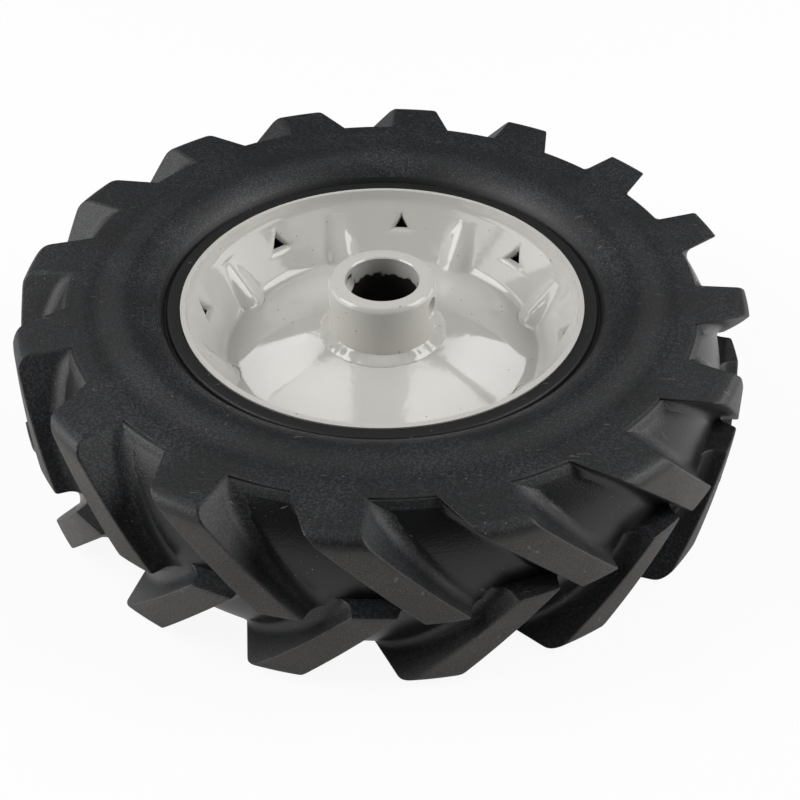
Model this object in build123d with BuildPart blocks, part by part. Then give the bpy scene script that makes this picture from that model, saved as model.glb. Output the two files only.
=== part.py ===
from build123d import *
import os
from math import hypot, radians, sin

# Driven wheel of a walk-behind garden machine: a lugged rubber tyre on a rim of two
# pressed steel halves, welded to a hub tube that is pinned to its axle.
# Sizes are in millimetres. The wheel lies flat, its axle axis is Z, and Z = 0 is the
# plane halfway through the tyre, where the two rim halves meet back to back.

# Hub tube
hub_diameter = 38.0
hub_length = 64.4
bore_diameter = 26.0
hub_edge_chamfer = 1.0
pin_hole_diameter = 7.0
pin_hole_from_end = 7.2
pin_hole_azimuth = -24.0
weld_leg = 3.2

# Rim halves
sheet = 1.8
lip_diameter = 142.0
lip_height = 25.5
lip_flange = 4.0
wall_top_diameter = 137.4
crease_diameter = 114.0
land_width = 3.0
dish_rise = 9.7
hub_seat_clearance = 0.1

# Flutes and lances pressed into each rim wall
press_count = 8
flute_azimuth = 15.7
flute_radius = 7.9
flute_depth = 3.2
flute_length = 18.0
lance_azimuth = 38.2
lance_height = 8.4
lance_base = 8.8
lance_from_crease = 15.2
lance_depth = 3.0
lance_skin = 0.9
lance_tip_share = 0.45

# Tyre carcass
crown_diameter = 241.4
shoulder_diameter = 217.2
side_height = 32.0
flat_diameter = 203.0
dip_diameter = 197.0
dip_depth = 0.4
bead_diameter = 180.0
bead_rise = 0.6
bead_foot_diameter = 154.4
step_diameter = 151.2
step_below_lip = 0.3
groove_depth = 0.9
seat_gap = 3.5

# Tread lugs
lug_count = 16
upper_lug_azimuth = 16.1
lower_lug_azimuth = 6.3
tread_diameter = 256.8
tread_taper = 1.6
tread_edge_diameter = 254.4
tread_edge_radius = 5.0
lug_tip_angle = 6.6
lug_end_angle = 6.2
lug_sweep = 14.8
lug_overrun = 1.8
lug_pull = 11.0
lug_draft = 7.0

# Values worked out from the sizes above
hub_radius = hub_diameter / 2
lip_radius = lip_diameter / 2
wall_foot = (crease_diameter / 2, sheet)
wall_top = (wall_top_diameter / 2, lip_height - lip_flange)
land_edge = (wall_foot[0] - land_width, sheet)
lip_edge = (lip_radius - sheet, lip_height)
floor_slope = dish_rise / (land_edge[0] - hub_radius)
floor_edge = (bore_diameter / 2, sheet + floor_slope * (land_edge[0] - bore_diameter / 2))
wall_run = hypot(wall_top[0] - wall_foot[0], wall_top[1] - wall_foot[1])
wall_up = ((wall_top[0] - wall_foot[0]) / wall_run, (wall_top[1] - wall_foot[1]) / wall_run)
wall_in = (-wall_up[1], wall_up[0])
step_height = lip_height - step_below_lip
shoulder = (shoulder_diameter / 2, side_height)
tread_radius = tread_diameter / 2


def wall_point(up, inward):
    """Point at azimuth 0, measured up the rim wall from its foot and inward from its face."""
    return Vector(
        wall_foot[0] + up * wall_up[0] + inward * wall_in[0],
        0,
        wall_foot[1] + up * wall_up[1] + inward * wall_in[1],
    )


def around(solid, count, azimuth):
    """Copies of a solid modelled at azimuth 0, spread evenly round the axle axis."""
    return [solid.rotate(Axis.Z, azimuth + 360 / count * index) for index in range(count)]


# Section of the pressed sheet: rising floor, flat land, sloping wall and upright flange
with BuildSketch(Plane.XZ) as sheet_section:
    with BuildLine():
        Polyline(floor_edge, land_edge, wall_foot, wall_top, lip_edge)
        offset(amount=sheet, kind=Kind.INTERSECTION, side=Side.RIGHT)
    make_face()

# The same section filled up to the lip, the space that the tyre must leave free
with BuildSketch(Plane.XZ) as bowl_section:
    add(sheet_section.sketch_local)
    with BuildLine():
        bowl_edge = (floor_edge[0], lip_height)
        Polyline(floor_edge, land_edge, wall_foot, wall_top, lip_edge, bowl_edge, close=True)
    make_face()

# Flute: a round bar lying in the wall, deepest at the crease and flush at its upper end
flute_foot = wall_point(0, flute_depth)
flute_head = wall_point(flute_length, 0)
flute_along = (flute_head - flute_foot).normalized()
flute_inward = Vector(-flute_along.Z, 0, flute_along.X)
flute_start = flute_foot - flute_inward * flute_radius - flute_along * flute_radius
flute_plane = Plane(origin=flute_start, x_dir=(0, 1, 0), z_dir=flute_along)
flute_reach = (flute_head - flute_foot).length + 2 * flute_radius

with BuildPart() as flute_bulge:
    with BuildSketch(flute_plane):
        Circle(flute_radius)
    extrude(amount=flute_reach)
    revolve(bowl_section.sketch, axis=Axis.Z, mode=Mode.INTERSECT)

with BuildPart() as flute_hollow:
    with BuildSketch(flute_plane):
        Circle(flute_radius - sheet)
    extrude(amount=flute_reach)
    split(bisect_by=Plane.XY.offset(sheet), keep=Keep.TOP)

# Lance: a three-sided dent punched out through the wall, its point towards the lip
lance_plane = Plane(
    origin=wall_point(lance_from_crease, 0),
    x_dir=(0, 1, 0),
    z_dir=(-wall_in[0], 0, -wall_in[1]),
)
lance_reach = sheet + lance_depth


def lance_outline(depth, skin):
    """Triangle of the lance at a depth below the wall's face, grown by its skin."""
    share = 1 - (1 - lance_tip_share) * depth / lance_reach
    half_base = share * lance_base / 2
    half_height = share * lance_height / 2
    with BuildSketch(lance_plane.offset(depth)) as outline:
        Polygon((-half_base, -half_height), (half_base, -half_height), (0, half_height), align=None)
        if skin > 0:
            offset(amount=skin, kind=Kind.INTERSECTION)
    return outline.sketch


with BuildPart() as lance_shell:
    loft([lance_outline(sheet / 2, lance_skin), lance_outline(lance_reach, lance_skin)], ruled=True)

with BuildPart() as lance_opening:
    loft([lance_outline(-sheet, 0), lance_outline(lance_reach + sheet, 0)], ruled=True)

# Outer rim half, pressed from sheet with its flutes, lances and hub hole
with BuildPart() as outer_rim_half:
    revolve(sheet_section.sketch, axis=Axis.Z)
    add(around(flute_bulge.part, press_count, flute_azimuth))
    add(around(flute_hollow.part, press_count, flute_azimuth), mode=Mode.SUBTRACT)
    add(around(lance_shell.part, press_count, lance_azimuth))
    add(around(lance_opening.part, press_count, lance_azimuth), mode=Mode.SUBTRACT)
    Cylinder(hub_radius + hub_seat_clearance, 2 * lip_height, mode=Mode.SUBTRACT)

# Inner rim half, the same pressing turned over
with BuildPart() as inner_rim_half:
    mirror(outer_rim_half.part, about=Plane.XY)

# Hub tube with a weld bead round it on the floor of each rim half
with BuildPart() as hub:
    Cylinder(hub_radius, hub_length)
    chamfer(hub.edges().filter_by(GeomType.CIRCLE), hub_edge_chamfer)
    with BuildSketch(Plane.XZ):
        with BuildLine():
            bead_heel = (hub_radius, sheet + dish_rise)
            bead_toe = (hub_radius + weld_leg, sheet + dish_rise - floor_slope * weld_leg)
            bead_top = (hub_radius, bead_heel[1] + weld_leg)
            Line(bead_heel, bead_toe)
            Line(bead_toe, bead_top)
            Line(bead_top, bead_heel)
        make_face()
        mirror(about=Plane.XZ)
    revolve(axis=Axis.Z)
    Hole(bore_diameter / 2)
    pin_hole_plane = Plane(
        origin=(0, 0, hub_length / 2 - pin_hole_from_end),
        x_dir=(0, 0, 1),
        z_dir=Vector(1, 0, 0).rotate(Axis.Z, pin_hole_azimuth),
    )
    with BuildSketch(pin_hole_plane):
        Circle(pin_hole_diameter / 2)
    extrude(amount=hub_diameter, both=True, mode=Mode.SUBTRACT)

# Lug: a straight bar across the tread at about 45 degrees, drawn on a plane that faces
# the axle, its flanks given a mould draft, then trimmed to the tread's rounded outline


def lug_side(azimuth):
    """Distance along the lug's plane of a tread point, by its azimuth from the lug's tip."""
    return tread_radius * sin(radians(lug_pull - azimuth))


lug_tip = (lug_side(-lug_tip_angle / 2), lug_side(lug_tip_angle / 2))
lug_end = (lug_side(lug_sweep - lug_end_angle / 2), lug_side(lug_sweep + lug_end_angle / 2))
lug_run = side_height + lug_overrun
# The bar runs on past the side of the tyre by this share of its length and is trimmed there
lug_spare = 0.3
lug_tip_past = [tip + (tip - end) * lug_spare for tip, end in zip(lug_tip, lug_end)]
lug_plane = Plane(origin=(tread_radius, 0, 0), x_dir=(0, -1, 0), z_dir=(-1, 0, 0))
lug_root = (flat_diameter + shoulder_diameter) / 4
lug_tip_dir = Vector(1, 0, 0).rotate(Axis.Z, -lug_pull)
lug_tip_side = Vector(0, -1, 0).rotate(Axis.Z, -lug_pull)

with BuildPart() as upper_lug:
    with BuildSketch(lug_plane):
        Polygon(
            (lug_tip_past[0], side_height + lug_run * lug_spare),
            (lug_tip_past[1], side_height + lug_run * lug_spare),
            (lug_end[1], -lug_overrun),
            (lug_end[0], -lug_overrun),
            align=None,
        )
    extrude(amount=tread_radius - lug_root + tread_edge_radius)
    flanks = upper_lug.faces().filter_by(Axis.X, reverse=True)
    draft(flanks, neutral_plane=lug_plane, angle=-lug_draft)
    with BuildSketch(Plane.XZ):
        Polygon(
            (lug_root, -side_height),
            (tread_radius, -side_height),
            (tread_radius, 0),
            (tread_radius - tread_taper, side_height),
            (lug_root, side_height),
            align=None,
        )
    revolve(axis=Axis.Z, mode=Mode.INTERSECT)
    with BuildSketch(Plane(origin=(0, 0, 0), x_dir=lug_tip_dir, z_dir=lug_tip_side)):
        with BuildLine():
            edge_radius = tread_edge_diameter / 2
            edge_foot = (edge_radius, side_height - tread_edge_radius)
            edge_top = (edge_radius - tread_edge_radius, side_height)
            RadiusArc(edge_top, edge_foot, tread_edge_radius)
            Polyline(edge_foot, (edge_radius + side_height, -side_height), (0, -side_height))
            Polyline((0, -side_height), (0, side_height), edge_top)
        make_face()
    extrude(amount=tread_radius, both=True, mode=Mode.INTERSECT)

with BuildPart() as lower_lug:
    mirror(upper_lug.part, about=Plane.XY)

# Tyre carcass: half its section, with the stepped lip edge, bead ring and rounded crown,
# cleared of the rim half that it sits on and mirrored
with BuildSketch(Plane.XZ) as tyre_section:
    with BuildLine():
        seat_edge = (wall_foot[0] + seat_gap, 0)
        bead_foot = (bead_foot_diameter / 2, step_height)
        flat_edge = (flat_diameter / 2, side_height)
        crown = (crown_diameter / 2, 0)
        Polyline(
            seat_edge,
            (seat_edge[0], step_height),
            (step_diameter / 2, step_height),
            ((step_diameter + bead_foot_diameter) / 4, step_height - groove_depth),
            bead_foot,
        )
        bead_crest = (bead_diameter / 2, side_height + bead_rise)
        dip_foot = (dip_diameter / 2, side_height - dip_depth)
        TangentArc(bead_crest, bead_foot, tangent=(-1, 0))
        Polyline(bead_crest, dip_foot, flat_edge, shoulder)
        TangentArc(crown, shoulder, tangent=(0, 1))
        Line(crown, seat_edge)
    make_face()
    add(bowl_section.sketch_local, mode=Mode.SUBTRACT)
    mirror(about=Plane.XZ)

with BuildPart() as tyre:
    revolve(tyre_section.sketch, axis=Axis.Z)
    add(around(upper_lug.part, lug_count, upper_lug_azimuth + lug_pull))
    add(around(lower_lug.part, lug_count, lower_lug_azimuth + lug_pull))
    lance_sockets = around(lance_shell.part, press_count, lance_azimuth)
    add(lance_sockets, mode=Mode.SUBTRACT)
    add([socket.mirror(Plane.XY) for socket in lance_sockets], mode=Mode.SUBTRACT)

# Write one file for each piece
os.makedirs("parts", exist_ok=True)
tyre.part.label = "tyre"
outer_rim_half.part.label = "outer_rim_half"
inner_rim_half.part.label = "inner_rim_half"
hub.part.label = "hub"
export_step(tyre.part, "parts/tyre.step")
export_step(outer_rim_half.part, "parts/outer_rim_half.step")
export_step(inner_rim_half.part, "parts/inner_rim_half.step")
export_step(hub.part, "parts/hub.step")
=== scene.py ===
from math import atan2, cos, degrees, hypot, pi, radians, sin, sqrt

import bpy
from mathutils import Matrix, Vector, noise


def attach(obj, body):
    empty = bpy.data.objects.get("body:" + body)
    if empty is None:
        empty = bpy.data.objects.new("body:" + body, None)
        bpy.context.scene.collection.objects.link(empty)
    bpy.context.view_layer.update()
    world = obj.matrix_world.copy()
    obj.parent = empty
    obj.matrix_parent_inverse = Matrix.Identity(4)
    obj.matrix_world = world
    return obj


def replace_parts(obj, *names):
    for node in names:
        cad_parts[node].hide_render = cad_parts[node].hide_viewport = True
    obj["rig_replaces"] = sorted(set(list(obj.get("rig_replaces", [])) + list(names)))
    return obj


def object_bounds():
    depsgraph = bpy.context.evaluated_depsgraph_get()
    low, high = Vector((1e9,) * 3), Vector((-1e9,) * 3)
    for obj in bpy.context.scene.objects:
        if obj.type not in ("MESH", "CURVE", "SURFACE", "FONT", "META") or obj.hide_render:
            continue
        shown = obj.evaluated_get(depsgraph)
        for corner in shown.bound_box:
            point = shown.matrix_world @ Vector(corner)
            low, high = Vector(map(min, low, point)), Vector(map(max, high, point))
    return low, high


# The drive wheel of a walk-behind garden machine lies flat on a pale studio floor.
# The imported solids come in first, and each piece below is modelled over its own solid.
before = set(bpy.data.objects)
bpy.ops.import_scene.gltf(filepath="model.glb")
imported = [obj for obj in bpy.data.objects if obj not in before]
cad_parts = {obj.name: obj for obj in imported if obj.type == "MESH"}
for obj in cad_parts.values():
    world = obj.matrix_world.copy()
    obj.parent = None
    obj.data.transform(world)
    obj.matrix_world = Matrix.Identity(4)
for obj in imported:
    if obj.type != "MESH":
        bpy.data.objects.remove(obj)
cad_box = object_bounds()
bpy.ops.object.select_all(action="DESELECT")


# Hub: a length of thick steel tube, faced and chamfered at both ends and cross-drilled for
# the drive pin. It is held in the rim halves by a hand-laid weld bead on each side, and the
# lot is sprayed with grey enamel, which only reaches a little way into the bore.
def draw_outline(name, points):
    """Draws an outline of (radius, height) points, in mm, by extruding a vertex from point to point."""
    bpy.ops.object.select_all(action="DESELECT")
    bpy.ops.mesh.primitive_plane_add(size=0.001)
    bpy.context.object.name = name
    bpy.ops.object.mode_set(mode="EDIT")
    bpy.ops.mesh.merge(type="CENTER")
    spots = [Vector((radius, 0, height)) / 1000 for radius, height in points]
    bpy.ops.transform.translate(value=spots[0])
    for spot, following in zip(spots, spots[1:]):
        bpy.ops.mesh.extrude_vertices_move(TRANSFORM_OT_translate={"value": following - spot})
    bpy.ops.mesh.select_all(action="SELECT")
    return bpy.context.object


def close_up():
    """Merges doubled vertices, points the faces outwards and goes back to object mode."""
    bpy.ops.mesh.select_all(action="SELECT")
    bpy.ops.mesh.remove_doubles(threshold=0.00001)
    bpy.ops.mesh.normals_make_consistent(inside=False)
    bpy.ops.object.mode_set(mode="OBJECT")


def apply_modifier(piece, kind, settings):
    """Adds a modifier to a piece, sets it and applies it."""
    bpy.ops.object.select_all(action="DESELECT")
    piece.select_set(True)
    bpy.context.view_layer.objects.active = piece
    made = piece.modifiers.new(kind.lower(), kind)
    for name, value in settings.items():
        setattr(made, name, value)
    bpy.ops.object.modifier_apply(modifier=made.name)


def arc(centre, radius, start, end, steps):
    """Points of an arc in an outline, from one angle to another in degrees."""
    turns = [radians(start + (end - start) * step / steps) for step in range(steps + 1)]
    return [(centre[0] + radius * cos(turn), centre[1] + radius * sin(turn)) for turn in turns]


upper_bead = [(22.9, 10.0), (22.75, 10.75), (22.2, 11.3), (21.4, 11.8), (20.4, 12.4), (19.6, 12.85), (19.15, 13.2)]
lower_bead = [(radius, -height) for radius, height in reversed(upper_bead)]
hub_outline = [
    (13.0, -30.0), *[(13.0, -30.0 + 3 * step) for step in range(1, 20)], (13.0, 31.7), (13.5, 32.2),
    (17.6, 32.2), (17.85, 32.1), (18.9, 30.75), (19.0, 30.4), (19.0, 24.0), (19.0, 18.0),
    *reversed(upper_bead), (19.0, 9.0), (19.0, -9.0), *reversed(lower_bead),
    (19.0, -18.0), (19.0, -24.0), (19.0, -30.4), (18.9, -30.75), (17.85, -32.1), (17.6, -32.2),
    (13.5, -32.2), (13.0, -31.7), (13.0, -30.0),
]
hub = draw_outline("hub_tube", hub_outline)
bpy.ops.mesh.spin(steps=240, angle=2 * pi, center=(0, 0, 0), axis=(0, 0, 1))
close_up()

# The bead was laid in short runs, so it swells and dips along its length
for vertex in hub.data.vertices:
    radius, height = hypot(vertex.co.x, vertex.co.y), abs(vertex.co.z)
    if radius > 0.01905 and height < 0.016:
        azimuth = atan2(vertex.co.y, vertex.co.x)
        side = 1 if vertex.co.z > 0 else 7
        lump = noise.noise(Vector((9 * cos(azimuth), 9 * sin(azimuth), side)))
        ripple = noise.noise(Vector((26 * cos(azimuth), 26 * sin(azimuth), side + 3)))
        swell = 1 + 0.08 * lump + 0.015 * ripple
        out = (radius - 0.019) * swell
        vertex.co.xy *= (0.019 + out) / radius
        vertex.co.z *= 1 + 0.015 * lump + 0.003 * ripple

# Drill for the pin hole, with a broken edge where it enters and leaves the tube
drill = draw_outline("pin_drill", [
    (0, -30), (4.3, -30), (4.3, -19.2), (3.5, -18.3), (3.5, 18.3), (4.3, 19.2), (4.3, 30), (0, 30),
])
bpy.ops.mesh.spin(steps=48, angle=2 * pi, center=(0, 0, 0), axis=(0, 0, 1))
close_up()
drill.data.transform(Matrix.Rotation(pi / 2, 4, "Y"))
drill.data.transform(Matrix.Translation((0, 0, 0.025)) @ Matrix.Rotation(radians(-24), 4, "Z"))
apply_modifier(hub, "BOOLEAN", {"object": drill, "operation": "DIFFERENCE", "solver": "EXACT"})
bpy.data.objects.remove(drill)
bpy.ops.object.shade_smooth_by_angle(angle=radians(32))


def to_linear(colour):
    """Turns an sRGB hex colour into the linear values that a shader takes."""
    shares = [int(colour[place:place + 2], 16) / 255 for place in (1, 3, 5)]
    return [share / 12.92 if share <= 0.04045 else ((share + 0.055) / 1.055) ** 2.4 for share in shares] + [1]


def add_node(tree, kind, settings, links):
    """Adds a shader node, sets its options and sockets by name or number, and links its inputs."""
    made = tree.nodes.new(kind)
    for name, value in settings.items():
        if isinstance(name, int) or name in made.inputs:
            made.inputs[name].default_value = value
        else:
            setattr(made, name, value)
    for name, source in links.items():
        tree.links.new(source, made.inputs[name])
    return made


# Grey stoving enamel on steel: a hard glossy skin with slight orange peel from the spray gun,
# small brown dirt specks caught in it, and a soft unevenness of tone.
enamel = bpy.data.materials.new("sprayed_grey_enamel")
enamel.use_nodes = True
tree = enamel.node_tree
place = add_node(tree, "ShaderNodeTexCoord", {}, {}).outputs["Object"]
# Tone drifts over about 40 mm
drift = add_node(tree, "ShaderNodeTexNoise", {"Scale": 1000 / 40, "Detail": 3}, {"Vector": place})
tone = add_node(
    tree, "ShaderNodeMix",
    {"data_type": "RGBA", 6: to_linear("#c0beb8"), 7: to_linear("#cac8c3")},
    {0: drift.outputs["Fac"]},
)
# Dirt specks up to 0.6 mm across, one in every few millimetres
speck_cells = add_node(tree, "ShaderNodeTexVoronoi", {"Scale": 1000 / 3.0}, {"Vector": place})
speck_pick = add_node(
    tree, "ShaderNodeSeparateColor", {}, {"Color": speck_cells.outputs["Color"]}
)
speck_size = add_node(
    tree, "ShaderNodeMapRange",
    {"From Min": 0.4, "From Max": 1.0, "To Min": 0.0, "To Max": 0.11},
    {"Value": speck_pick.outputs["Red"]},
)
speck = add_node(
    tree, "ShaderNodeMath", {"operation": "LESS_THAN"},
    {0: speck_cells.outputs["Distance"], 1: speck_size.outputs["Result"]},
)
speckled = add_node(
    tree, "ShaderNodeMix",
    {"data_type": "RGBA", 7: to_linear("#7a6c5a")},
    {0: speck.outputs["Value"], 6: tone.outputs[2]},
)
# Orange peel: ripples about 2.5 mm long
peel = add_node(tree, "ShaderNodeTexNoise", {"Scale": 1000 / 2.5, "Detail": 1}, {"Vector": place})
peel_bump = add_node(
    tree, "ShaderNodeBump", {"Strength": 0.035, "Distance": 0.0006}, {"Height": peel.outputs["Fac"]}
)
shader = tree.nodes["Principled BSDF"]
shader.inputs["Roughness"].default_value = 0.07
shader.inputs["IOR"].default_value = 1.52
tree.links.new(speckled.outputs[2], shader.inputs["Base Color"])
tree.links.new(peel_bump.outputs["Normal"], shader.inputs["Normal"])

# Inside of the bore: bare steel coloured near-black, with a ragged fringe of greyer overspray that
# fades out a few millimetres below each mouth.
bore_skin = bpy.data.materials.new("near_black_bare_steel_bore")
bore_skin.use_nodes = True
tree = bore_skin.node_tree
place = add_node(tree, "ShaderNodeTexCoord", {}, {}).outputs["Object"]
axes = add_node(tree, "ShaderNodeSeparateXYZ", {}, {"Vector": place})
depth = add_node(tree, "ShaderNodeMath", {"operation": "ABSOLUTE"}, {0: axes.outputs["Z"]})
# The fringe wanders up and down over about 7 mm
ragged = add_node(tree, "ShaderNodeTexNoise", {"Scale": 1000 / 7, "Detail": 6}, {"Vector": place})
edge = add_node(
    tree, "ShaderNodeMath", {"operation": "MULTIPLY_ADD", 1: 0.022}, {0: ragged.outputs["Fac"], 2: depth.outputs["Value"]}
)
sprayed = add_node(
    tree, "ShaderNodeMapRange", {"From Min": 0.0355, "From Max": 0.037}, {"Value": edge.outputs["Value"]}
)
bore_tone = add_node(
    tree, "ShaderNodeMix", {"data_type": "RGBA", 6: to_linear("#14120f"), 7: to_linear("#a9a8a4")},
    {0: sprayed.outputs["Result"]},
)
shader = tree.nodes["Principled BSDF"]
shader.inputs["Roughness"].default_value = 0.5
tree.links.new(bore_tone.outputs[2], shader.inputs["Base Color"])

hub.data.materials.clear()
hub.data.materials.append(enamel)
hub.data.materials.append(bore_skin)
for face in hub.data.polygons:
    radius = hypot(face.center.x, face.center.y)
    face.material_index = 1 if radius < 0.01305 else 0
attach(hub, "root")
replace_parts(hub, "hub")


# Rim half: a dish pressed from 1.8 mm steel sheet. Eight flutes stiffen its wall, and between
# them a three-sided lance is punched outwards into the rubber, so that the tyre can't turn on it.
sheet = 1.8
wall_foot = Vector((57.0, 1.8))
wall_top = Vector((68.7, 21.5))
wall_run = (wall_top - wall_foot).length
wall_up = (wall_top - wall_foot) / wall_run
wall_in = Vector((-wall_up.y, wall_up.x))
floor_slope = 9.7 / 35.0


def floor_height(radius):
    """Height of the dish floor: a shallow cone that eases into the flat land at its edge."""
    lift = floor_slope * (54.0 - radius)
    return 1.8 + (lift + sqrt(lift * lift + 0.6)) / 2


floor_line = [(19.05 + 2.2 * step, floor_height(19.05 + 2.2 * step)) for step in range(16)]
floor_line += [(radius, floor_height(radius)) for radius in (53.1, 54.1, 55.0, 55.7)]
crease_line = [(56.15, 1.93), (56.6, 2.08), (57.0, 2.4), (57.38, 2.88)]
wall_steps = [2.2, 3.0, 4.0, 5.0, 6.0, 7.0, 8.0, 9.0] + [9.8 + 0.42 * step for step in range(28)] + [22.0]
wall_line = [tuple(wall_foot + wall_up * step) for step in wall_steps]
flange_line = [(68.62, 21.55), (68.78, 22.1), (68.9, 22.9), (69.02, 24.0), (69.1, 25.0), (69.15, 25.5)]
rim_half = draw_outline("rim_half", floor_line + crease_line + wall_line + flange_line)

# Each of the eight sectors is spun finely across its flute and its lance and coarsely between them
for sector in range(8):
    for steps, angle in ((36, 17.0), (6, 8.8), (28, 10.4), (6, 8.8)):
        bpy.ops.mesh.spin(steps=steps, angle=radians(angle), center=(0, 0, 0), axis=(0, 0, 1))
close_up()
rim_half.data.transform(Matrix.Rotation(radians(7.2), 4, "Z"))


def flute_push(across, up):
    """How far a flute stands in from the wall: a round bar sunk in it, deepest at the crease."""
    depth = 3.3 * (1 - max(up, 0) / 19.0)
    if abs(across) > 7.8:
        return 0
    stand = sqrt(7.9 ** 2 - across ** 2) - (7.9 - depth)
    return (stand + sqrt(stand * stand + 0.35)) / 2 - 0.02


def lance_push(across, up):
    """How far a lance is punched out of the wall: steep concave sides and a gentler lower lip."""
    above_base = up - 11.0
    if above_base < -1 or above_base > 8.6:
        return 0
    half_width = 4.5 * max(1 - above_base / 8.4, 0) ** 1.35
    from_side = 2.1 * (half_width - abs(across))
    from_base = 1.25 * above_base
    reach = min(from_side, from_base)
    return (reach + sqrt(reach * reach + 0.25)) / 2


lance_holes = set()
for vertex in rim_half.data.vertices:
    spot = vertex.co * 1000
    radius = hypot(spot.x, spot.y)
    azimuth = degrees(atan2(spot.y, spot.x))
    from_foot = Vector((radius, spot.z)) - wall_foot
    up = from_foot.dot(wall_up)
    flute_turn = (azimuth - 15.7 + 22.5) % 45 - 22.5
    lance_turn = (azimuth - 38.2 + 22.5) % 45 - 22.5
    height = spot.z
    if radius < 55.9:
        push = flute_push(radians(flute_turn) * 57.0, 0) * max(0, 1 - (55.9 - radius) / 9)
        moved = radius - push
        height = floor_height(moved)
    else:
        push = flute_push(radians(flute_turn) * radius, up) if up < 19 else 0
        dent = lance_push(radians(lance_turn) * radius, up)
        along = Vector((-1, 0)) * push if up < 2 else wall_in * push
        moved = radius + along.x - wall_in.x * dent
        height = spot.z + along.y - wall_in.y * dent
        if dent > 1.3:
            lance_holes.add(vertex.index)
    vertex.co = Vector((spot.x * moved / radius, spot.y * moved / radius, height)) / 1000

# The punch breaks through at the bottom of each lance
for face in rim_half.data.polygons:
    face.select = all(index in lance_holes for index in face.vertices)
bpy.ops.object.mode_set(mode="EDIT")
bpy.ops.mesh.select_mode(type="FACE")
bpy.ops.object.mode_set(mode="OBJECT")
for face in rim_half.data.polygons:
    face.select = all(index in lance_holes for index in face.vertices)
bpy.ops.object.mode_set(mode="EDIT")
bpy.ops.mesh.delete(type="FACE")
bpy.ops.mesh.select_mode(type="VERT")
bpy.ops.object.mode_set(mode="OBJECT")
upward = sum(face.normal.z * face.area for face in rim_half.data.polygons)
if upward < 0:
    rim_half.data.flip_normals()
apply_modifier(rim_half, "SOLIDIFY", {"thickness": sheet / 1000, "offset": -1.0, "use_even_offset": False})
bpy.ops.object.shade_smooth_by_angle(angle=radians(40))
rim_half.data.materials.clear()
rim_half.data.materials.append(enamel)

rim_half.name = "rim_half_outer"
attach(rim_half, "root")
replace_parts(rim_half, "outer_rim_half")
inner_half = rim_half.copy()
inner_half.data = rim_half.data.copy()
inner_half.name = "rim_half_inner"
bpy.context.collection.objects.link(inner_half)
inner_half.data.transform(Matrix.Scale(-1, 4, (0, 0, 1)))
inner_half.data.flip_normals()
del inner_half["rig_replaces"]
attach(inner_half, "root")
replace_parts(inner_half, "inner_rim_half")


# Tyre: one moulding of black rubber with straight bar lugs in a chevron. The two mould halves
# meet round the middle of the tread, where the lugs of one side end against the other's.
side = 32.0
crown_centre, crown_radius = 72.28, 48.42
half_outline = [
    (74.5, 16.0), (74.5, 20.5), (71.05, 21.3), (71.05, 24.7), (71.3, 25.05), (71.8, 25.2), (74.9, 25.2),
    (75.4, 25.05), (75.7, 24.6), (76.1, 23.8), (76.6, 23.8), (77.0, 24.5), *arc((90, 17.8), 14.77, 149.5, 90, 12),
    (92.0, 32.46), (94.2, 32.15), (96.4, 31.8), (98.5, 31.64), (100.4, 31.75), (102.2, 31.95), (104.0, side),
    (107.8, side), (108.2, 31.96), (108.45, 31.84), (108.5, 31.5), (108.65, 31.28), (109.1, 31.24),
    *arc((crown_centre, 0), crown_radius, 40.0, 0.6, 26), (120.85, 0),
]
body_outline = [
    (66.5, 0), (70.5, 8.0), *half_outline,
    *[(radius, -height) for radius, height in reversed(half_outline[:-1])], (70.5, -8.0), (66.5, 0),
]
tyre = draw_outline("tyre_moulding", body_outline)
bpy.ops.mesh.spin(steps=288, angle=2 * pi, center=(0, 0, 0), axis=(0, 0, 1))
close_up()

# One lug: a bar that leans 45 degrees across the tread. Its flanks widen inwards by the mould draft
# and run out into the carcass in a fillet, and its tip is rounded down from the side of the tyre.
tread = 128.35
lug_pull = 11.0
lug_length = side + 1.8


def lug_flank(near, height, depth, inset):
    """Sideways place of a lug's flank at a height and at a depth below the plane of its face."""
    spread = -3.3 if near else 3.3
    start = tread * sin(radians(14.8 + spread * 0.94 - lug_pull))
    run = tread * sin(radians(spread - lug_pull)) - start
    outward = -1 if near else 1
    slant = hypot(run, lug_length) / lug_length
    return start + run * (height + 1.8) / lug_length + outward * slant * (0.1228 * depth - inset)


def lug_point(near, height, radius, inset):
    """Point of a lug's flank at a height and at a distance from the axle."""
    depth = 0
    for turn in range(6):
        depth = tread - sqrt(radius ** 2 - lug_flank(near, height, depth, inset) ** 2)
    return Vector((tread - depth, lug_flank(near, height, depth, inset), height))


def lug_flank_line(near, height, face, inset):
    """Points up a lug's flank, from inside the carcass through the fillet to its rounded edge."""
    carcass = crown_centre + sqrt(crown_radius ** 2 - height ** 2)
    points = []
    for above in (-3.0, -0.3, -0.1, 0.1, 0.35, 0.7, 1.2, 1.8, 2.6, 3.5, 4.4):
        point = lug_point(near, height, carcass + above, inset)
        short = min(max(4.0 - above - 0.04, 0), 4.0)
        push = (4.0 - sqrt(4.0 ** 2 - short ** 2)) * min(max((31.3 - height) / 3, 0), 1)
        point.y += -1.35 * push if near else 1.35 * push
        point.x = sqrt((carcass + above) ** 2 - point.y ** 2)
        points.append(point)
    edge = lug_point(near, height, face, inset)
    down = (lug_point(near, height, face - 1, inset) - edge).normalized()
    over = Vector((-edge.y, edge.x, 0)).normalized() * (1 if near else -1)
    for share in (0, 0.35, 0.7, 1):
        points.append(edge + 0.8 * (down * (1 - share) ** 2 + over * share ** 2))
    return points


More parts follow.
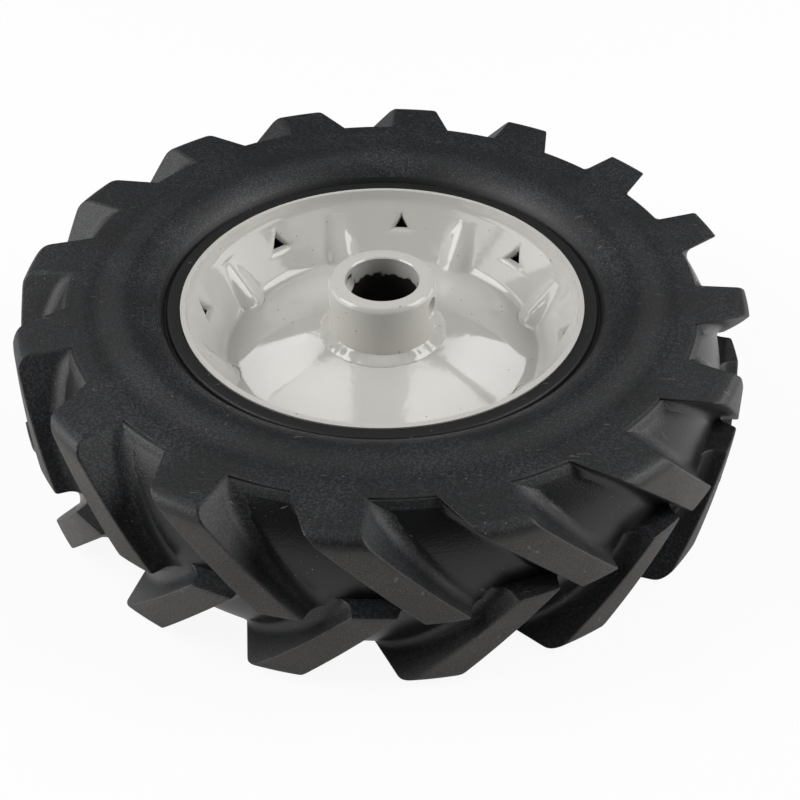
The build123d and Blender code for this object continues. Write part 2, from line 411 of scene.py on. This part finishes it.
lug_rows = [(-1.8, 0.5), (-1.7, 0.2), (-1.4, 0.0)]
lug_rows += [(-0.3 + 2.73 * step, 0.0) for step in range(10)]
lug_rows += [(27 + 5 * sin(radians(lean)), 0.0) for lean in (0, 12, 24, 36, 48, 58)]
lug_rows += [(31.5, 0.06), (31.75, 0.18), (31.92, 0.36), (31.998, 0.6)]
bpy.ops.object.select_all(action="DESELECT")
bpy.ops.mesh.primitive_grid_add(x_subdivisions=39, y_subdivisions=len(lug_rows) - 1, size=1)
lug = bpy.context.object
lug_lines = []
for height, inset in lug_rows:
    face = tread - 0.05 * max(height, 0) - inset
    if height > 27:
        face = min(face, 122.2 + sqrt(25 - (height - 27) ** 2) - inset)
    near_line = lug_flank_line(True, height, face, inset)
    far_line = lug_flank_line(False, height, face, inset)
    first = atan2(near_line[-1].y, near_line[-1].x)
    last = atan2(far_line[-1].y, far_line[-1].x)
    turns = [first + (last - first) * step / 10 for step in range(1, 10)]
    crossing = [Vector((face * cos(turn), face * sin(turn), height)) for turn in turns]
    lug_lines.append(near_line + crossing + far_line[::-1] + near_line[:1])
for vertex in lug.data.vertices:
    row = round((vertex.co.y + 0.5) * (len(lug_rows) - 1))
    column = round((vertex.co.x + 0.5) * 39)
    vertex.co = lug_lines[row][column] / 1000
bpy.ops.object.mode_set(mode="EDIT")
bpy.ops.mesh.select_all(action="SELECT")
bpy.ops.mesh.remove_doubles(threshold=0.000001)
bpy.ops.mesh.fill_holes(sides=0)
close_up()

# Sixteen lugs on each side, the lower ones turned over, are run together with the carcass
for phase, flip in ((16.1, 1), (6.3, -1)):
    bars = []
    for number in range(16):
        bar = lug.copy()
        bar.data = lug.data.copy()
        bpy.context.collection.objects.link(bar)
        turn = Matrix.Rotation(radians(phase + lug_pull + 22.5 * number), 4, "Z")
        bar.data.transform(turn @ Matrix.Scale(flip, 4, (0, 0, 1)))
        if flip < 0:
            bar.data.flip_normals()
        bars.append(bar)
    bpy.ops.object.select_all(action="DESELECT")
    for bar in bars:
        bar.select_set(True)
    bpy.context.view_layer.objects.active = bars[0]
    bpy.ops.object.join()
    lug_ring = bpy.context.object
    apply_modifier(tyre, "BOOLEAN", {"object": lug_ring, "operation": "UNION", "solver": "EXACT"})
    bpy.data.objects.remove(lug_ring)
bpy.data.objects.remove(lug)
bpy.ops.object.mode_set(mode="EDIT")
bpy.ops.mesh.select_all(action="SELECT")
bpy.ops.mesh.remove_doubles(threshold=0.00004)
bpy.ops.mesh.dissolve_degenerate(threshold=0.00004)
bpy.ops.object.mode_set(mode="OBJECT")
bpy.ops.object.shade_smooth_by_angle(angle=radians(40))
apply_modifier(tyre, "WEIGHTED_NORMAL", {"keep_sharp": True})

# Each corner of a face is told what kind of surface it is on: red the flat sides, raised on the bead ring
# beside the rim to paint a lighter sheen there, green the worn outer faces of the lugs, blue the pocket floors,
# fading out up the fillets. What is left is flanks and edges.
zone = tyre.data.color_attributes.new("zone", "FLOAT_COLOR", "CORNER")
for face in tyre.data.polygons:
    middle = face.center * 1000
    outward = (face.normal.x * middle.x + face.normal.y * middle.y) / hypot(middle.x, middle.y)
    flat_side = abs(face.normal.z) > 0.6 and hypot(middle.x, middle.y) > 76.5
    for corner in face.loop_indices:
        spot = tyre.data.vertices[tyre.data.loops[corner].vertex_index].co * 1000
        radius = hypot(spot.x, spot.y)
        above = radius - crown_centre - sqrt(crown_radius ** 2 - min(abs(spot.z), side) ** 2)
        lug_face = min(max((31.5 - abs(spot.z)) / 6, 0), 1) if above > 6 and outward > 0.5 and not flat_side else 0
        pocket = min(max(1 - above / 3, 0), 1) if radius > 108.3 and not flat_side else 0
        # Inside 88 mm the flat sides get up to 1.4 times the dust grey: a painted sheen on the bead ring next to the
        # rim.
        dust_and_bead_sheen = 1 + 0.4 * min(max((88 - radius) / 4, 0), 1) if flat_side else 0
        zone.data[corner].color = (dust_and_bead_sheen, lug_face, pocket, 1)

# Black moulded rubber: a charcoal skin, dull and filmed with dust on the flat sides with a painted lighter sheen on
# the bead ring beside the rim, greyer and scuffed on the outer faces of the lugs, half glossy on the pocket floors,
# with fine pale grit and lint clinging to it.
rubber = bpy.data.materials.new("moulded_black_rubber")
rubber.use_nodes = True
tree = rubber.node_tree
place = add_node(tree, "ShaderNodeTexCoord", {}, {}).outputs["Object"]
kind = add_node(tree, "ShaderNodeVertexColor", {"layer_name": "zone"}, {})
zones = add_node(tree, "ShaderNodeSeparateColor", {}, {"Color": kind.outputs["Color"]})
# The rubber's own tone is uneven over about 25 mm and finely grained over 1 mm
drift = add_node(tree, "ShaderNodeTexNoise", {"Scale": 1000 / 25, "Detail": 4}, {"Vector": place})
grain = add_node(tree, "ShaderNodeTexNoise", {"Scale": 1000 / 0.75, "Detail": 3}, {"Vector": place})
tone = add_node(
    tree, "ShaderNodeMix",
    {"data_type": "RGBA", 6: to_linear("#0f1011"), 7: to_linear("#151617")}, {0: drift.outputs["Fac"]},
)
# A film of grey dust on the flat sides, thicker in patches and gathered in the grain; the same grey laid
# thicker on the bead ring beside the rim is a painted sheen, not dust.
film = add_node(
    tree, "ShaderNodeMapRange", {"From Min": 0.35, "From Max": 0.7, "To Min": 0.1, "To Max": 0.36},
    {"Value": drift.outputs["Fac"]},
)
caught = add_node(
    tree, "ShaderNodeMapRange", {"From Min": 0.46, "From Max": 0.6, "To Min": 0.0, "To Max": 1.3},
    {"Value": grain.outputs["Fac"]},
)
dust = add_node(
    tree, "ShaderNodeMath", {"operation": "MULTIPLY"}, {0: film.outputs["Result"], 1: caught.outputs["Result"]}
)
# The red share also carries the painted sheen on the bead ring, so this mask lightens the ring as well as laying dust.
side_dust_and_bead_sheen = add_node(
    tree, "ShaderNodeMath", {"operation": "MULTIPLY"}, {0: dust.outputs["Value"], 1: zones.outputs["Red"]}
)
dusted_and_sheened = add_node(
    tree, "ShaderNodeMix", {"data_type": "RGBA", 7: to_linear("#484a50")},
    {0: side_dust_and_bead_sheen.outputs["Value"], 6: tone.outputs[2]},
)
# The lugs' outer faces are scuffed grey all over, a little unevenly
scuff = add_node(tree, "ShaderNodeTexNoise", {"Scale": 1000 / 0.45, "Detail": 4}, {"Vector": place})
rubbed = add_node(
    tree, "ShaderNodeMapRange", {"From Min": 0.36, "From Max": 0.66, "To Min": 0.25, "To Max": 0.85},
    {"Value": scuff.outputs["Fac"]},
)
patchy = add_node(
    tree, "ShaderNodeMapRange", {"From Min": 0.3, "From Max": 0.7, "To Min": 0.7, "To Max": 1.2},
    {"Value": drift.outputs["Fac"]},
)
worn = add_node(
    tree, "ShaderNodeMath", {"operation": "MULTIPLY"}, {0: rubbed.outputs["Result"], 1: patchy.outputs["Result"]}
)
tread_wear = add_node(
    tree, "ShaderNodeMath", {"operation": "MULTIPLY"}, {0: worn.outputs["Value"], 1: zones.outputs["Green"]}
)
scuffed = add_node(
    tree, "ShaderNodeMix", {"data_type": "RGBA", 7: to_linear("#55524f")},
    {0: tread_wear.outputs["Value"], 6: dusted_and_sheened.outputs[2]},
)
# Pale grit: specks of 0.1 to 0.4 mm, thickest where they have gathered
grit_cells = add_node(tree, "ShaderNodeTexVoronoi", {"Scale": 1000 / 1.5}, {"Vector": place})
grit_pick = add_node(tree, "ShaderNodeSeparateColor", {}, {"Color": grit_cells.outputs["Color"]})
gathered = add_node(tree, "ShaderNodeTexNoise", {"Scale": 1000 / 14, "Detail": 3}, {"Vector": place})
grit_odds = add_node(
    tree, "ShaderNodeMath", {"operation": "MULTIPLY"}, {0: grit_pick.outputs["Red"], 1: gathered.outputs["Fac"]}
)
grit_size = add_node(
    tree, "ShaderNodeMapRange", {"From Min": 0.3, "From Max": 0.6, "To Max": 0.16},
    {"Value": grit_odds.outputs["Value"]},
)
grit = add_node(
    tree, "ShaderNodeMath", {"operation": "LESS_THAN"},
    {0: grit_cells.outputs["Distance"], 1: grit_size.outputs["Result"]},
)
grit_share = add_node(
    tree, "ShaderNodeMath", {"operation": "MULTIPLY"}, {0: grit.outputs["Value"], 1: grit_pick.outputs["Green"]}
)
gritty = add_node(
    tree, "ShaderNodeMix", {"data_type": "RGBA", 7: to_linear("#80776a")},
    {0: grit_share.outputs["Value"], 6: scuffed.outputs[2]},
)
# Lint: short bent hairs, 4 mm long and 0.3 mm thick, lying two ways
linted = gritty.outputs[2]
for turn, shift in ((0.5, 0.0), (2.1, 3.0)):
    combed = add_node(
        tree, "ShaderNodeMapping",
        {"Location": (shift, 0, 0), "Rotation": (0, 0, turn), "Scale": (1000 / 5, 1000 / 0.9, 1000 / 5)},
        {"Vector": place},
    )
    hairs = add_node(
        tree, "ShaderNodeTexNoise", {"Scale": 1.0, "Detail": 1, "Distortion": 0.6}, {"Vector": combed.outputs["Vector"]}
    )
    hair = add_node(
        tree, "ShaderNodeMapRange", {"From Min": 0.76, "From Max": 0.8, "To Max": 0.4},
        {"Value": hairs.outputs["Fac"]},
    )
    linted = add_node(
        tree, "ShaderNodeMix", {"data_type": "RGBA", 7: to_linear("#857b6b")}, {0: hair.outputs["Result"], 6: linted}
    ).outputs[2]
# The pocket floors came off polished mould steel, the rest is dull
sheen = add_node(
    tree, "ShaderNodeMix", {"data_type": "FLOAT", 2: 0.5, 3: 0.3}, {0: zones.outputs["Blue"]}
)
worn_sheen = add_node(
    tree, "ShaderNodeMix", {"data_type": "FLOAT", 3: 0.62}, {0: zones.outputs["Green"], 2: sheen.outputs[0]}
)
skin = add_node(
    tree, "ShaderNodeBump", {"Strength": 0.4, "Distance": 0.0002}, {"Height": grain.outputs["Fac"]}
)
shader = tree.nodes["Principled BSDF"]
shader.inputs["IOR"].default_value = 1.45
tree.links.new(linted, shader.inputs["Base Color"])
tree.links.new(worn_sheen.outputs[0], shader.inputs["Roughness"])
tree.links.new(skin.outputs["Normal"], shader.inputs["Normal"])
tyre.data.materials.clear()
tyre.data.materials.append(rubber)
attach(tyre, "root")
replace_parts(tyre, "tyre")


# Studio: a pale floor under the wheel, a large soft box on each side above it and a smaller one
# on each side of the camera, and a white surround.
floor_level = cad_box[0].z
bpy.ops.mesh.primitive_plane_add(size=6, location=(0, 0, floor_level))
floor = bpy.context.object
floor.name = "studio_floor"
paper = bpy.data.materials.new("white_paper")
paper.use_nodes = True
tree = paper.node_tree
tree.nodes["Principled BSDF"].inputs["Base Color"].default_value = to_linear("#eeeeee")
tree.nodes["Principled BSDF"].inputs["Roughness"].default_value = 0.8
seen = add_node(tree, "ShaderNodeLightPath", {}, {})
glow = add_node(tree, "ShaderNodeEmission", {"Color": to_linear("#ffffff"), "Strength": 1.0}, {})
mirrored = add_node(
    tree, "ShaderNodeMath", {"operation": "MULTIPLY", 1: 0.45}, {0: seen.outputs["Is Glossy Ray"]}
)
share = add_node(
    tree, "ShaderNodeMath", {"operation": "MULTIPLY_ADD", 1: 0.92},
    {0: seen.outputs["Is Camera Ray"], 2: mirrored.outputs["Value"]},
)
lit = add_node(
    tree, "ShaderNodeMixShader", {},
    {0: share.outputs["Value"], 1: tree.nodes["Principled BSDF"].outputs["BSDF"], 2: glow.outputs["Emission"]},
)
tree.links.new(lit.outputs["Shader"], tree.nodes["Material Output"].inputs["Surface"])
floor.data.materials.append(paper)

# Four strips hang level over the back, and the boxes stand round the wheel and face it
level = (0, -0.001, -1)
for name, spot, facing, width, length, turn, power in (
    ("left_far_strip", (-0.545, 0.88, 0.8), level, 0.1, 0.7, 16.2, 1.05),
    ("right_far_strip", (0.555, 0.88, 0.8), level, 0.1, 0.75, -19.3, 1.1),
    ("left_near_strip", (-0.295, 0.35, 0.8), level, 0.12, 0.46, 41.3, 0.62),
    ("right_near_strip", (0.25, 0.3, 0.8), level, 0.12, 0.42, -47.8, 0.57),
    ("left_top_box", (-0.78, -0.06, 0.66), (0.78, 0.06, -0.66), 0.55, 0.55, 0, 6.2),
    ("right_top_box", (0.78, -0.06, 0.66), (-0.78, 0.06, -0.66), 0.55, 0.55, 0, 5.8),
    ("left_front_box", (-0.76, -0.46, 0.42), (0.76, 0.46, -0.42), 0.5, 0.1, 0, 0.4),
    ("right_front_box", (0.62, -0.62, 0.47), (-0.62, 0.62, -0.47), 0.5, 0.1, 0, 0.2),
    ("left_side_box", (-0.9, 0.05, 0.22), (0.9, -0.05, -0.22), 1.1, 0.25, 0, 2.6),
    ("right_side_box", (0.9, 0.05, 0.22), (-0.9, -0.05, -0.22), 1.1, 0.25, 0, 2.6),
):
    bpy.ops.object.light_add(type="AREA", location=spot)
    lamp = bpy.context.object
    lamp.name = name
    lamp.data.shape = "RECTANGLE"
    lamp.data.size = width
    lamp.data.size_y = length
    lamp.data.energy = power
    aim = Vector(facing).to_track_quat("-Z", "Y").to_matrix().to_4x4()
    lamp.matrix_world = Matrix.Translation(spot) @ aim @ Matrix.Rotation(radians(turn), 4, "Z")

world = bpy.data.worlds.new("white_surround")
bpy.context.scene.world = world
world.use_nodes = True
tree = world.node_tree
seen = add_node(tree, "ShaderNodeLightPath", {}, {})
strength = add_node(
    tree, "ShaderNodeMapRange", {"To Min": 0.05, "To Max": 1.0}, {"Value": seen.outputs["Is Camera Ray"]}
)
tree.nodes["Background"].inputs["Color"].default_value = to_linear("#ffffff")
tree.links.new(strength.outputs["Result"], tree.nodes["Background"].inputs["Strength"])

bpy.ops.object.camera_add()
camera = bpy.context.object
camera.data.lens = 59.89
camera.data.sensor_width = 36
camera.data.clip_start = 0.01
camera.matrix_world = (
    Matrix.Translation((0, -0.3818, 0.3020))
    @ Matrix.Rotation(radians(-0.944), 4, "Z")
    @ Matrix.Rotation(radians(90 - 40.468), 4, "X")
    @ Matrix.Rotation(radians(0.117), 4, "Z")
)
bpy.context.scene.camera = camera
bpy.context.scene.view_settings.view_transform = "Standard"
